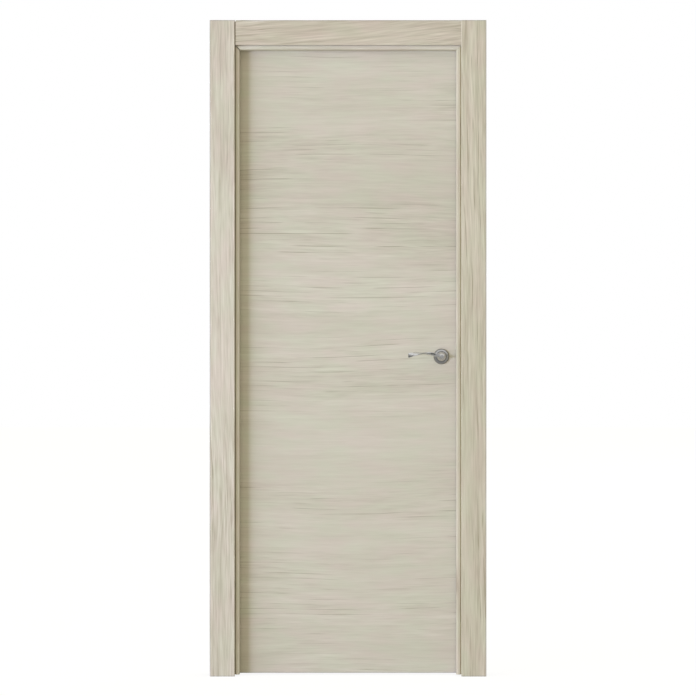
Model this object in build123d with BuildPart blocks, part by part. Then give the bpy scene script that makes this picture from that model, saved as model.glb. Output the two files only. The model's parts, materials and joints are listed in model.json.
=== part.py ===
"""Interior door set: a flush leaf hung in a mitred, rebated frame with architraves on both faces.

Millimetres, +Z up. The origin lies on the wall face of the hinge jamb, at the jamb's foot and halfway
through the depth of the frame. +X runs across the doorway to the latch jamb, +Y from the push side to
the pull side, where the leaf opens.
"""

import os
from math import cos, pi, radians, sin

from build123d import *

# Leaf: two face panels on stiles, rails and a board core, with an edge band on both long edges
leaf_width = 725.0
leaf_height = 2035.0
leaf_thickness = 35.0
panel_thickness = 4.0
band_thickness = 1.2
band_arris = 0.5
stile_width = 38.0
rail_height = 70.0

# Clearances round the leaf
hinge_gap = 5.0
latch_gap = 6.5
head_gap = 5.0
seal_gap = 5.0
foot_gap = 1.0

# Frame: a jamb board and, glued on it, a stop with a rounded front arris, a groove along the architrave
# and a kerf for the seal
jamb_thickness = 17.0
jamb_depth = 70.0
stop_height = 17.0
stop_round = 6.0
groove_width = 5.0
groove_depth = 5.0
hinge_mitre_gap = 2.4
latch_mitre_gap = 0.3
kerf_width = 3.0
kerf_depth = 7.0
kerf_from_edge = 6.0

# Architraves: the head pieces are thinner than the uprights and stop short of the hinge side's
front_width = 81.0
back_width = 78.0
upright_thickness = 10.5
head_thickness = 8.0
head_joint_gap = 2.5
architrave_round = 1.5
architrave_foot = 4.8
front_inset = 18.5
front_head_inset = 20.0
back_inset = 11.5

# Seal: a root pushed into the kerf and a hollow bulb that meets the leaf
bulb_radius = 4.6
bulb_wall = 1.0
root_clearance = 0.5

# Butt hinges
hinge_height = 90.0
flap_width = 27.0
flap_thickness = 2.5
flap_corner = 6.0
knuckle_radius = 5.5
knuckle_gap = 0.5
knuckle_count = 3
axis_behind_leaf = 7.0
pin_radius = 2.8
pin_clearance = 0.08
cap_height = 3.0
cap_bevel = 1.2
top_hinge_drop = 215.0
bottom_hinge_rise = 255.0

# Latch and strike
handle_height = 1030.5
backset = 58.0
faceplate_width = 25.0
faceplate_height = 57.0
faceplate_thickness = 3.0
faceplate_corner = 4.0
case_radius = 11.0
case_clearance = 0.6
case_tail = 14.0
bolt_width = 12.0
bolt_height = 15.0
bolt_length = 30.0
bolt_bevel = 9.0
bolt_clearance = 0.3
bolt_show = 1.5
strike_width = 24.0
strike_height = 66.0
strike_thickness = 2.0
strike_corner = 5.0
socket_width = 15.0
socket_height = 21.0
socket_depth = 13.0

# Rose, lever and spindle
rose_radius = 25.0
rose_height = 9.0
rose_rim = 2.5
rose_shoulder = 3.0
rose_recess = 2.0
rose_lip = 1.0
collar_radius = 15.5
collar_clearance = 0.6
collar_lift = 0.5
collar_height = 1.6
neck_radius = 9.0
neck_clearance = 0.5
neck_flare = 13.0
neck_tail = 3.0
neck_end_bevel = 4.0
lever_projection = 56.0
lever_length = 107.5
lever_rise = 10.3
blade_width = 14.8
blade_root_thickness = 14.0
blade_tip_thickness = 4.8
blade_edge = 1.8
blade_crown = 5.0
blade_root_turn = -45.0
blade_tip_turn = 82.0
blade_flat_at = 0.556
blade_bow = 3.0
blade_sections = 13
tip_round = 1.2
spindle_side = 8.0
spindle_clearance = 0.1
spindle_reach = 32.0

# Places that follow from the sizes
stop_face = jamb_thickness + stop_height
leaf_left = jamb_thickness + hinge_gap
leaf_right = leaf_left + leaf_width
frame_width = leaf_right + latch_gap + jamb_thickness
leaf_bottom = foot_gap
leaf_top = leaf_bottom + leaf_height
frame_height = leaf_top + head_gap + jamb_thickness
frame_front = -jamb_depth / 2
frame_back = jamb_depth / 2
leaf_back = frame_back
leaf_front = leaf_back - leaf_thickness
leaf_middle = (leaf_front + leaf_back) / 2
stop_back = leaf_front - seal_gap
core_front = leaf_front + panel_thickness
core_back = leaf_back - panel_thickness
panel_left = leaf_left + band_thickness
panel_right = leaf_right - band_thickness
core_left = panel_left + stile_width
core_right = panel_right - stile_width
core_bottom = leaf_bottom + rail_height
core_top = leaf_top - rail_height
kerf_middle = stop_face - kerf_from_edge - kerf_width / 2
hinge_x = jamb_thickness + hinge_gap / 2
hinge_y = leaf_back + axis_behind_leaf
top_hinge_z = leaf_top - top_hinge_drop
bottom_hinge_z = leaf_bottom + bottom_hinge_rise
hinge_heights = {
    "top": top_hinge_z,
    "middle": (top_hinge_z + bottom_hinge_z) / 2,
    "bottom": bottom_hinge_z,
}
knuckle_pitch = hinge_height / knuckle_count
handle_x = leaf_right - backset
strike_face = leaf_right + latch_gap
case_front = leaf_right - faceplate_thickness
bolt_tip = leaf_right + bolt_show
bolt_heel = bolt_tip - bolt_length

# The frame section is drawn with its wall face on local X = 0 and the frame's depth along local Y
hinge_side = Plane(origin=(0, 0, 0), x_dir=(1, 0, 0), z_dir=(0, 0, 1))
latch_side = Plane(origin=(frame_width, 0, 0), x_dir=(-1, 0, 0), z_dir=(0, 0, -1))
head_side = Plane(origin=(0, 0, frame_height), x_dir=(0, 0, -1), z_dir=(1, 0, 0))
hinge_mitre = Plane(origin=(0, 0, frame_height), x_dir=(0, 1, 0), z_dir=(1, 0, 1))
latch_mitre = Plane(origin=(frame_width, 0, frame_height), x_dir=(0, 1, 0), z_dir=(-1, 0, 1))

os.makedirs("parts", exist_ok=True)


def save(piece, name):
    """Label a finished piece and write it."""
    piece.part.label = name
    export_step(piece.part, f"parts/{name}.step")


def block(x_from, x_to, y_from, y_to, z_from, z_to, mode=Mode.ADD):
    """A rectangular block between two corners, added to or cut from the piece at work."""
    with Locations(((x_from + x_to) / 2, (y_from + y_to) / 2, (z_from + z_to) / 2)):
        Box(x_to - x_from, y_to - y_from, z_to - z_from, mode=mode)


def jamb_section(side):
    """The jamb board's section."""
    with BuildSketch(side) as section:
        with Locations((jamb_thickness / 2, 0)):
            Rectangle(jamb_thickness, jamb_depth)
    return section.sketch


def stop_section(side):
    """The stop's section: a strip with a rounded front arris, a front groove and the seal's kerf."""
    with BuildSketch(side) as section:
        with Locations((jamb_thickness + stop_height / 2, (frame_front + stop_back) / 2)):
            strip = Rectangle(stop_height, stop_back - frame_front)
        fillet(strip.vertices().sort_by_distance((stop_face, frame_front))[0], stop_round)
        with Locations((jamb_thickness + groove_width / 2, frame_front + groove_depth / 2)):
            Rectangle(groove_width, groove_depth, mode=Mode.SUBTRACT)
        with Locations((kerf_middle, stop_back - kerf_depth / 2)):
            Rectangle(kerf_width, kerf_depth, mode=Mode.SUBTRACT)
    return section.sketch


def seal_section(side):
    """The seal section: a hollow half-round bulb on the stop and a root in the kerf."""
    with BuildSketch(side) as section:
        with Locations((kerf_middle, stop_back)):
            Circle(bulb_radius)
            Circle(bulb_radius - bulb_wall, mode=Mode.SUBTRACT)
        with Locations((kerf_middle, stop_back - bulb_radius)):
            Rectangle(4 * bulb_radius, 2 * bulb_radius, mode=Mode.SUBTRACT)
        with Locations((kerf_middle, stop_back + bulb_wall / 2)):
            Rectangle(2 * bulb_radius - bulb_wall, bulb_wall)
        with Locations((kerf_middle, stop_back - (kerf_depth - root_clearance) / 2)):
            Rectangle(kerf_width, kerf_depth - root_clearance)
    return section.sketch


def flap_outline(face_x, middle_z, inward):
    """A hinge flap's outline on its seat, with two rounded corners away from the knuckles."""
    origin = (face_x, leaf_back - flap_width / 2, middle_z)
    with BuildSketch(Plane(origin=origin, x_dir=(0, 1, 0), z_dir=(inward, 0, 0))) as flap:
        outline = Rectangle(flap_width, hinge_height)
        fillet(outline.vertices().group_by(Axis.X)[0], flap_corner)
    return flap.sketch


def flap_seats(face_x, inward):
    """Cut the seats of the three hinge flaps into the piece at work."""
    for middle_z in hinge_heights.values():
        extrude(flap_outline(face_x, middle_z, inward), amount=flap_thickness, mode=Mode.SUBTRACT)


def hinge_half(middle_z, face_x, inward, first_knuckle):
    """One half of a butt hinge: a flap in its seat and every second knuckle on the pin."""
    tab_from, tab_to = sorted((face_x, face_x + inward * flap_thickness))
    with BuildPart() as half:
        extrude(flap_outline(face_x, middle_z, inward), amount=flap_thickness)
        for index in range(first_knuckle, knuckle_count, 2):
            low = middle_z - hinge_height / 2 + index * knuckle_pitch + knuckle_gap / 2
            high = low + knuckle_pitch - knuckle_gap
            block(tab_from, tab_to, leaf_back, hinge_y, low, high)
            with Locations((hinge_x, hinge_y, (low + high) / 2)):
                Cylinder(knuckle_radius, high - low)
        with Locations((hinge_x, hinge_y, middle_z)):
            Cylinder(pin_radius + pin_clearance, hinge_height, mode=Mode.SUBTRACT)
    return half


def hinge_pin(middle_z):
    """A hinge pin with a bevelled cap at each end."""
    with BuildPart() as pin:
        with Locations((hinge_x, hinge_y, middle_z)):
            Cylinder(pin_radius, hinge_height)
        for end in (-1, 1):
            with Locations((hinge_x, hinge_y, middle_z + end * (hinge_height + cap_height) / 2)):
                Cylinder(knuckle_radius, cap_height)
        rims = pin.edges().filter_by(GeomType.CIRCLE).sort_by(Axis.Z)
        chamfer([rims[0], rims[-1]], cap_bevel)
    return pin


def spindle_bore(y_from, y_to):
    """Cut the round hole for the spindle and the lever necks through the leaf."""
    with Locations(Location((handle_x, (y_from + y_to) / 2, handle_height), (90, 0, 0))):
        Cylinder(neck_radius + collar_clearance, y_to - y_from, mode=Mode.SUBTRACT)


def latch_bore(x_from, x_to):
    """Cut the round bore for the latch case into the leaf's edge."""
    with Locations(Location(((x_from + x_to) / 2, leaf_middle, handle_height), (0, 90, 0))):
        Cylinder(case_radius + case_clearance, x_to - x_from, mode=Mode.SUBTRACT)


def plate_outline(plane, width, height, corner):
    """An upright plate's outline with four rounded corners."""
    with BuildSketch(plane) as plate:
        outline = Rectangle(width, height)
        fillet(outline.vertices(), corner)
    return plate.sketch


# Frame: three lengths of one section, mitred at the two upper corners
with BuildPart() as hinge_jamb:
    extrude(jamb_section(hinge_side), amount=frame_height)
    split(bisect_by=hinge_mitre.offset(-hinge_mitre_gap / 2), keep=Keep.BOTTOM)
    flap_seats(jamb_thickness, -1)
save(hinge_jamb, "hinge_jamb")

strike_plane = Plane(
    origin=(strike_face, leaf_middle, handle_height), x_dir=(0, 1, 0), z_dir=(1, 0, 0)
)
strike_outline = plate_outline(strike_plane, strike_width, strike_height, strike_corner)
with BuildPart() as latch_jamb:
    extrude(jamb_section(latch_side), amount=-frame_height)
    split(bisect_by=latch_mitre.offset(-latch_mitre_gap / 2), keep=Keep.BOTTOM)
    extrude(strike_outline, amount=strike_thickness, mode=Mode.SUBTRACT)
    with BuildSketch(strike_plane):
        Rectangle(socket_width, socket_height)
    extrude(amount=socket_depth, mode=Mode.SUBTRACT)
save(latch_jamb, "latch_jamb")

with BuildPart() as head_jamb:
    extrude(jamb_section(head_side), amount=frame_width)
    split(bisect_by=hinge_mitre.offset(hinge_mitre_gap / 2), keep=Keep.TOP)
    split(bisect_by=latch_mitre.offset(latch_mitre_gap / 2), keep=Keep.TOP)
save(head_jamb, "head_jamb")

# Stops and seals, mitred like the jambs that carry them
hinge_cut = (hinge_mitre, hinge_mitre_gap / 2)
latch_cut = (latch_mitre, latch_mitre_gap / 2)
for place, side, run, cuts, keep, away in (
    ("hinge", hinge_side, frame_height, [hinge_cut], Keep.BOTTOM, -1),
    ("latch", latch_side, -frame_height, [latch_cut], Keep.BOTTOM, -1),
    ("head", head_side, frame_width, [hinge_cut, latch_cut], Keep.TOP, 1),
):
    with BuildPart() as stop:
        extrude(stop_section(side), amount=run)
        for mitre, clear in cuts:
            split(bisect_by=mitre.offset(away * clear), keep=keep)
    save(stop, f"{place}_stop")

    with BuildPart() as seal:
        extrude(seal_section(side), amount=run)
        for mitre, clear in cuts:
            split(bisect_by=mitre, keep=keep)
    save(seal, f"{place}_seal")

# Architraves: two uprights on each face of the wall and a head piece butted between them
for face, wall_y, outward, width, inset, head_inset in (
    ("front", frame_front, -1, front_width, front_inset, front_head_inset),
    ("back", frame_back, 1, back_width, back_inset, back_inset),
):
    head_low = frame_height - head_inset
    head_high = head_low + width
    upright_from, upright_to = sorted((wall_y, wall_y + outward * upright_thickness))
    head_from, head_to = sorted((wall_y, wall_y + outward * head_thickness))
    for side, x_from in (("hinge", inset - width), ("latch", frame_width - inset)):
        with BuildPart() as upright:
            block(x_from, x_from + width, upright_from, upright_to, -architrave_foot, head_high)
            shown = upright.faces().sort_by(Axis.Y)[-1 if outward > 0 else 0]
            fillet(shown.edges().filter_by(Axis.Z), architrave_round)
        save(upright, f"{face}_{side}_architrave")
    with BuildPart() as head_piece:
        block(inset + head_joint_gap, frame_width - inset, head_from, head_to, head_low, head_high)
        shown = head_piece.faces().sort_by(Axis.Y)[-1 if outward > 0 else 0]
        fillet(shown.edges().filter_by(Axis.X), architrave_round)
    save(head_piece, f"{face}_head_architrave")

# Leaf
with BuildPart() as front_panel:
    block(panel_left, panel_right, leaf_front, core_front, leaf_bottom, leaf_top)
    spindle_bore(leaf_front, core_front)
save(front_panel, "leaf_front_panel")

with BuildPart() as back_panel:
    block(panel_left, panel_right, core_back, leaf_back, leaf_bottom, leaf_top)
    spindle_bore(core_back, leaf_back)
    flap_seats(leaf_left, 1)
save(back_panel, "leaf_back_panel")

faceplate_plane = Plane(
    origin=(leaf_right, leaf_middle, handle_height), x_dir=(0, 1, 0), z_dir=(1, 0, 0)
)
faceplate_outline = plate_outline(faceplate_plane, faceplate_width, faceplate_height, faceplate_corner)
with BuildPart() as hinge_band:
    block(leaf_left, panel_left, leaf_front, leaf_back, leaf_bottom, leaf_top)
    chamfer(hinge_band.faces().sort_by(Axis.X)[0].edges().filter_by(Axis.Z), band_arris)
    flap_seats(leaf_left, 1)
save(hinge_band, "leaf_hinge_edge_band")

with BuildPart() as latch_band:
    block(panel_right, leaf_right, leaf_front, leaf_back, leaf_bottom, leaf_top)
    chamfer(latch_band.faces().sort_by(Axis.X)[-1].edges().filter_by(Axis.Z), band_arris)
    extrude(faceplate_outline, amount=-faceplate_thickness, mode=Mode.SUBTRACT)
save(latch_band, "leaf_latch_edge_band")

with BuildPart() as hinge_stile:
    block(panel_left, core_left, core_front, core_back, leaf_bottom, leaf_top)
    flap_seats(leaf_left, 1)
save(hinge_stile, "leaf_hinge_stile")

with BuildPart() as latch_stile:
    block(core_right, panel_right, core_front, core_back, leaf_bottom, leaf_top)
    extrude(faceplate_outline, amount=-faceplate_thickness, mode=Mode.SUBTRACT)
    latch_bore(core_right, panel_right)
save(latch_stile, "leaf_latch_stile")

with BuildPart() as top_rail:
    block(core_left, core_right, core_front, core_back, core_top, leaf_top)
save(top_rail, "leaf_top_rail")

with BuildPart() as bottom_rail:
    block(core_left, core_right, core_front, core_back, leaf_bottom, core_bottom)
save(bottom_rail, "leaf_bottom_rail")

with BuildPart() as core:
    block(core_left, core_right, core_front, core_back, core_bottom, core_top)
    latch_bore(handle_x - case_tail - case_clearance, core_right)
    spindle_bore(core_front, core_back)
save(core, "leaf_core")

# Hinges
for place, middle_z in hinge_heights.items():
    save(hinge_half(middle_z, jamb_thickness, -1, 0), f"{place}_hinge_frame_flap")
    save(hinge_half(middle_z, leaf_left, 1, 1), f"{place}_hinge_leaf_flap")
    save(hinge_pin(middle_z), f"{place}_hinge_pin")

# Latch in the leaf's edge and strike on the jamb
bolt_slot_width = bolt_width + 2 * bolt_clearance
bolt_slot_height = bolt_height + 2 * bolt_clearance
with BuildPart() as faceplate:
    extrude(faceplate_outline, amount=-faceplate_thickness)
    with BuildSketch(faceplate_plane):
        Rectangle(bolt_slot_width, bolt_slot_height)
    extrude(amount=-faceplate_thickness, mode=Mode.SUBTRACT)
save(faceplate, "latch_faceplate")

with BuildPart() as latch_case:
    with BuildSketch(faceplate_plane.offset(-faceplate_thickness)):
        Circle(case_radius)
    extrude(amount=-(case_front - handle_x + case_tail))
    with BuildSketch(faceplate_plane.offset(-faceplate_thickness)):
        Rectangle(bolt_slot_width, bolt_slot_height)
    extrude(amount=-(case_front - bolt_heel), mode=Mode.SUBTRACT)
    spindle_bore(leaf_middle - case_radius, leaf_middle + case_radius)
save(latch_case, "latch_case")

with BuildPart() as latch_bolt:
    with BuildSketch(Plane.XY.offset(handle_height - bolt_height / 2)):
        with BuildLine():
            Polyline(
                (bolt_heel, leaf_middle - bolt_width / 2),
                (bolt_tip - bolt_bevel, leaf_middle - bolt_width / 2),
                (bolt_tip, leaf_middle + bolt_width / 4),
                (bolt_tip, leaf_middle + bolt_width / 2),
                (bolt_heel, leaf_middle + bolt_width / 2),
                close=True,
            )
        make_face()
    extrude(amount=bolt_height)
save(latch_bolt, "latch_bolt")

with BuildPart() as strike:
    extrude(strike_outline, amount=strike_thickness)
    with BuildSketch(strike_plane):
        Rectangle(socket_width, socket_height)
    extrude(amount=strike_thickness, mode=Mode.SUBTRACT)
save(strike, "strike_plate")


# Handle set: a rose and a lever on the push side, mirrored to the pull side, and one spindle
def blade_turn(along):
    """How far the blade has turned, in degrees: it leans back at the root and stands up at the tip."""
    return max(blade_root_turn, blade_tip_turn * (along - blade_flat_at) / (1 - blade_flat_at))


def blade_section(along, inset=0):
    """The blade's section: flat crowns, bevels and blunt edges, turned about the blade's line."""
    off_leaf = lever_projection - neck_radius + blade_bow * (2 * along - 3 * along**2)
    rise = lever_rise * sin(0.9 * pi * along)
    turn = radians(blade_turn(min(along, 1)))
    across = Plane(
        origin=(handle_x - lever_length * along, leaf_front - off_leaf, handle_height + rise),
        x_dir=(0, -cos(turn), -sin(turn)),
        z_dir=(-1, 0, 0),
    )
    thinning = max(0, 1 - along) ** 2.6
    thickness = blade_tip_thickness + (blade_root_thickness - blade_tip_thickness) * thinning
    half_width = blade_width / 2 - inset
    half_edge = blade_edge / 2
    half_crown = blade_crown / 2
    height = thickness / 2 - inset
    with BuildSketch(across) as section:
        with BuildLine():
            Polyline(
                (half_width, half_edge),
                (half_crown, height),
                (-half_crown, height),
                (-half_width, half_edge),
                (-half_width, -half_edge),
                (-half_crown, -height),
                (half_crown, -height),
                (half_width, -half_edge),
                close=True,
            )
        make_face()
    return section.sketch


# Half sections on the spindle axis: local X is the radius, local Y points off the leaf
spindle_axis = Axis((handle_x, leaf_front, handle_height), (0, 1, 0))
turning_plane = Plane(
    origin=(handle_x, leaf_front, handle_height), x_dir=(1, 0, 0), z_dir=(0, 0, -1)
)

rose_bore = neck_radius + neck_clearance
recess_radius = collar_radius + collar_clearance
with BuildPart() as rose:
    with BuildSketch(turning_plane):
        with BuildLine():
            Polyline(
                (rose_bore, 0),
                (rose_radius, 0),
                (rose_radius, rose_rim),
                (rose_radius - rose_shoulder, rose_height - rose_rim),
                (recess_radius + rose_lip, rose_height),
                (recess_radius, rose_height),
                (recess_radius, rose_height - rose_recess),
                (rose_bore, rose_height - rose_recess),
                close=True,
            )
        make_face()
    revolve(axis=spindle_axis)

collar_low = rose_height - rose_recess + collar_lift
collar_high = rose_height + collar_height
socket_side = spindle_side + 2 * spindle_clearance
with BuildPart() as lever:
    with BuildSketch(turning_plane):
        with BuildLine():
            Polyline(
                (0, -neck_tail),
                (neck_radius, -neck_tail),
                (neck_radius, collar_low),
                (collar_radius, collar_low),
                (collar_radius, collar_high),
                (neck_radius, collar_high + neck_flare),
                (neck_radius, lever_projection - neck_end_bevel),
                (neck_radius - neck_end_bevel, lever_projection),
                (0, lever_projection),
                close=True,
            )
        make_face()
    revolve(axis=spindle_axis)
    steps = [index / (blade_sections - 1) for index in range(blade_sections)]
    loft([blade_section(along) for along in steps])
    loft([blade_section(1), blade_section(1 + tip_round / lever_length, tip_round)])
    block(
        handle_x - socket_side / 2,
        handle_x + socket_side / 2,
        leaf_front - spindle_reach,
        leaf_front + neck_tail,
        handle_height - socket_side / 2,
        handle_height + socket_side / 2,
        mode=Mode.SUBTRACT,
    )

for piece, name in ((rose, "rose"), (lever, "lever")):
    save(piece, f"front_{name}")
    with BuildPart() as mirrored:
        mirror(piece.part, about=Plane.XZ.offset(-leaf_middle))
    save(mirrored, f"back_{name}")

with BuildPart() as spindle:
    block(
        handle_x - spindle_side / 2,
        handle_x + spindle_side / 2,
        leaf_front - spindle_reach,
        leaf_back + spindle_reach,
        handle_height - spindle_side / 2,
        handle_height + spindle_side / 2,
    )
save(spindle, "handle_spindle")
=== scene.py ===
# %% [markdown]
# # A flush interior door in pale veneer
# The door set is a leaf that swings on three hinges, a frame with stops and architraves, a latch and a
# pair of lever handles. All of it could be modelled again in Blender, but the solids come in as
# separate pieces with their real shape and size, so they are used as they are. What is left for this
# lesson is the finish: pale veneer with its grain in the right direction on each board, raw board where
# a saw went through, satin metal, and the screws.

# %% Load the door set
import json
import math

import bmesh
import bpy
from mathutils import Matrix, Vector


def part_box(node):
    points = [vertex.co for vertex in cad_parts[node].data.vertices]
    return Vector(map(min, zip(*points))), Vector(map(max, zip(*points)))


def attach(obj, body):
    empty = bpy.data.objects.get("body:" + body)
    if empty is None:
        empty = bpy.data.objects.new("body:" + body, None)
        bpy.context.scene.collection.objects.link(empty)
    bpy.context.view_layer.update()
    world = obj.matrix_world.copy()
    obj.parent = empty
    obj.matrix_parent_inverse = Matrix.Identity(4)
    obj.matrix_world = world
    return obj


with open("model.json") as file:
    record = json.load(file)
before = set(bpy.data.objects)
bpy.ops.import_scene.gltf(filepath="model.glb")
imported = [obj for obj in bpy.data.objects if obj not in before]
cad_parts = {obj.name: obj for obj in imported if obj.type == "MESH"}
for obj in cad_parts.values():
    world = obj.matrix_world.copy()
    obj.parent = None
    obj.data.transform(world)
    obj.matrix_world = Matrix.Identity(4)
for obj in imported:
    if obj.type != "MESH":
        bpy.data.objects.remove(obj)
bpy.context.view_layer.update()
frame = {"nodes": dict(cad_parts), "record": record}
nodes = frame["nodes"]

# %% [markdown]
# ## The view
# The photograph looks straight at the push side from a long way off: the two jambs look the same and
# the verticals are parallel. An orthographic camera would come close, but it would lose the slight step
# in size from the architraves back to the leaf. A long lens far away keeps both. The camera stands
# level with the middle of the picture, so nothing converges and no shift is needed.

# %% Camera
image_pixels = 696
metres_per_pixel = 0.0032350
camera_distance = 8.0
view_height = 1.0580
sensor_width = 36.0
clip_distance = 100.0
architrave_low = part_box("front_hinge_architrave")[0]
door_middle = (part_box("hinge_jamb")[0][0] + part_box("latch_jamb")[1][0]) / 2


def add_object(name, data):
    """Put a camera, a lamp or a mesh into the scene."""
    made = bpy.data.objects.new(name, data)
    bpy.context.scene.collection.objects.link(made)
    return made


camera_data = bpy.data.cameras.new("door_camera")
camera_data.sensor_width = sensor_width
camera_data.lens = sensor_width * camera_distance / (image_pixels * metres_per_pixel)
camera_data.clip_end = clip_distance
camera = add_object("door_camera", camera_data)
camera.location = (door_middle, architrave_low[1] - camera_distance, view_height)
camera.rotation_euler = (math.radians(90), 0, 0)
bpy.context.scene.camera = camera
bpy.context.scene.view_settings.view_transform = "Standard"
print("lens", round(camera_data.lens, 1), "mm at", camera_distance, "m")

# %% [markdown]
# ## Nodes in one line
# Every finish below is a small chain of nodes. It could be clicked together in the shader editor, but
# then nobody could read it here. Three helpers keep a recipe short: `plug` fills one input, `place`
# adds a node with its options and inputs, and `calc` does one sum.

# %% Node helpers
def plug(tree, socket, value):
    """Give an input its value, or a link when the value is another node's output."""
    if isinstance(value, bpy.types.NodeSocket):
        tree.links.new(value, socket)
    else:
        socket.default_value = value


def place(tree, kind, plugs=None, **options):
    """Add one node with its options and its inputs."""
    made = tree.nodes.new(kind)
    for option, choice in options.items():
        setattr(made, option, choice)
    for name, value in (plugs or {}).items():
        plug(tree, made.inputs[name], value)
    return made


def calc(tree, operation, *values):
    """One sum: the output of a math node."""
    made = tree.nodes.new("ShaderNodeMath")
    made.operation = operation
    for socket, value in zip(made.inputs, values):
        plug(tree, socket, value)
    return made.outputs[0]


print("helpers ready")

# %% [markdown]
# ## World
# The photograph has a white ground and soft light from all round. One white world could give both, but
# it would be too bright and too cold for the door. So there are two: the camera, and whatever metal or
# glass mirrors, sees white paper, while the door itself gets a dimmer, warmer fill. The Light Path node
# tells the two apart.

# %% White ground and warm fill
ambient_light = (0.675, 0.645, 0.515, 1.0)
white = (1, 1, 1, 1)


def seen_directly(tree):
    """One for rays from the camera, from a reflection or through glass, else nothing."""
    path = tree.nodes.new("ShaderNodeLightPath")
    mirrored = calc(tree, "MAXIMUM", path.outputs["Is Camera Ray"], path.outputs["Is Glossy Ray"])
    return calc(tree, "MAXIMUM", mirrored, path.outputs["Is Transmission Ray"])


world = bpy.data.worlds.new("studio_world")
bpy.context.scene.world = world
world.use_nodes = True
sky = world.node_tree
sky.nodes.clear()
even_fill = place(sky, "ShaderNodeBackground", {"Color": ambient_light, "Strength": 1.0})
white_paper = place(sky, "ShaderNodeBackground", {"Color": white, "Strength": 1.0})
chosen_sky = place(sky, "ShaderNodeMixShader", {
    0: seen_directly(sky), 1: even_fill.outputs[0], 2: white_paper.outputs[0],
})
place(sky, "ShaderNodeOutputWorld", {0: chosen_sky.outputs[0]})
print("world fills with", ambient_light[:3])

# %% [markdown]
# ## Lamps
# The frame throws a narrow shadow on the leaf's left edge, and a soft tail of it reaches further in. A
# sun lamp would make the edge too hard, and a lamp close by would light one side of the leaf more than
# the other. So a wide lamp stands far off to the left, and a weaker one further round to the side gives
# the tail. A third lamp does for the pull side what the first does for the push side. All are bluer
# than the world's fill. Metal doesn't mirror them, because a lamp's outline would show as a hard patch.

# %% Soft lamps
lamp_height = 1.05
lamp_rise = 1.8
lamp_tint = (0.918, 1.0, 1.345)
leaf_centre = Vector((door_middle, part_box("leaf_front_panel")[0][1], lamp_height))


def soft_lamp(name, bearing, distance, width, watts):
    """A wide lamp turned to the leaf; the bearing goes from straight before it round to the left."""
    lamp_data = bpy.data.lights.new(name, "AREA")
    lamp_data.shape = "RECTANGLE"
    lamp_data.size = width
    lamp_data.size_y = lamp_rise
    lamp_data.energy = watts
    lamp_data.color = lamp_tint
    lamp = add_object(name, lamp_data)
    angle = math.radians(bearing)
    to_lamp = Vector((-math.sin(angle), -math.cos(angle), 0))
    lamp.location = leaf_centre + to_lamp * distance
    lamp.rotation_euler = to_lamp.to_track_quat("Z", "Y").to_euler()
    lamp.visible_glossy = False
    print(name, "at", [round(value, 2) for value in lamp.location])


soft_lamp("left_softbox", bearing=48.5, distance=18.0, width=5.4, watts=1395.0)
soft_lamp("left_wall_light", bearing=68.0, distance=10.0, width=3.5, watts=245.0)
soft_lamp("back_softbox", bearing=228.5, distance=18.0, width=5.4, watts=1395.0)

# %% [markdown]
# ## Floor
# The door stands on a pale floor that runs into the white ground. A plane could be added with an
# operator, but that depends on what is selected. A grid made as a bmesh doesn't, and the same helper
# turns every later bmesh into a mesh. The floor is not part of the door.

# %% Floor
floor_reach = 25.0
floor_squares = 8


def finished_mesh(name, form):
    """Turn a bmesh into a mesh and let the bmesh go."""
    mesh = bpy.data.meshes.new(name)
    form.to_mesh(mesh)
    form.free()
    return mesh


floor_form = bmesh.new()
bmesh.ops.create_grid(
    floor_form, x_segments=floor_squares, y_segments=floor_squares, size=floor_reach
)
bmesh.ops.translate(floor_form, verts=floor_form.verts, vec=(door_middle, 0, architrave_low[2]))
floor = add_object("pale_floor", finished_mesh("pale_floor", floor_form))
print("floor at", round(architrave_low[2], 4))

# %% [markdown]
# ## Finish of the floor
# A plain white surface would show a grey horizon, and one that only glows would lose the door's shadow.
# So the floor has two finishes. To the light that bounces off it, it is pale paint. To the camera it is
# a glow just under white, with a thin veil of paint that keeps the faint shadow.

# %% Floor finish
floor_paint = (0.78, 0.77, 0.75, 1)
floor_veil = (0.16, 0.16, 0.16, 1)
floor_glow = 0.90


def new_finish(name):
    """An empty node material: returns it with its tree and its shader."""
    finish = bpy.data.materials.new(name)
    finish.use_nodes = True
    return finish, finish.node_tree, finish.node_tree.nodes["Principled BSDF"]


floor_finish, tree, shader = new_finish("pale_floor")
tree.nodes.remove(shader)
paint = place(tree, "ShaderNodeBsdfDiffuse", {"Color": floor_paint})
veil = place(tree, "ShaderNodeBsdfDiffuse", {"Color": floor_veil})
glow = place(tree, "ShaderNodeEmission", {"Color": white, "Strength": floor_glow})
shown_floor = place(tree, "ShaderNodeAddShader", {0: veil.outputs[0], 1: glow.outputs[0]})
chosen_floor = place(tree, "ShaderNodeMixShader", {
    0: seen_directly(tree), 1: paint.outputs[0], 2: shown_floor.outputs[0],
})
tree.links.new(chosen_floor.outputs[0], tree.nodes["Material Output"].inputs[0])
floor.data.materials.append(floor_finish)
print("floor glows at", floor_glow, "to the camera")

# %% [markdown]
# ## A grey screen for the metal
# In an all-white room satin metal shows nothing but its own grey. Grey walls would give it something to
# reflect, but they would take light from the door. So a low grey screen stands round the door, and only
# reflections see it: it lights nothing and throws no shadow. Faces that look level turn darker, and
# faces that tilt up stay bright.

# %% Screen
screen_radius = 3.2
screen_rise = 1.95
screen_foot = architrave_low[2] + 0.01
screen_glow = 0.42
round_sides = 96


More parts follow.
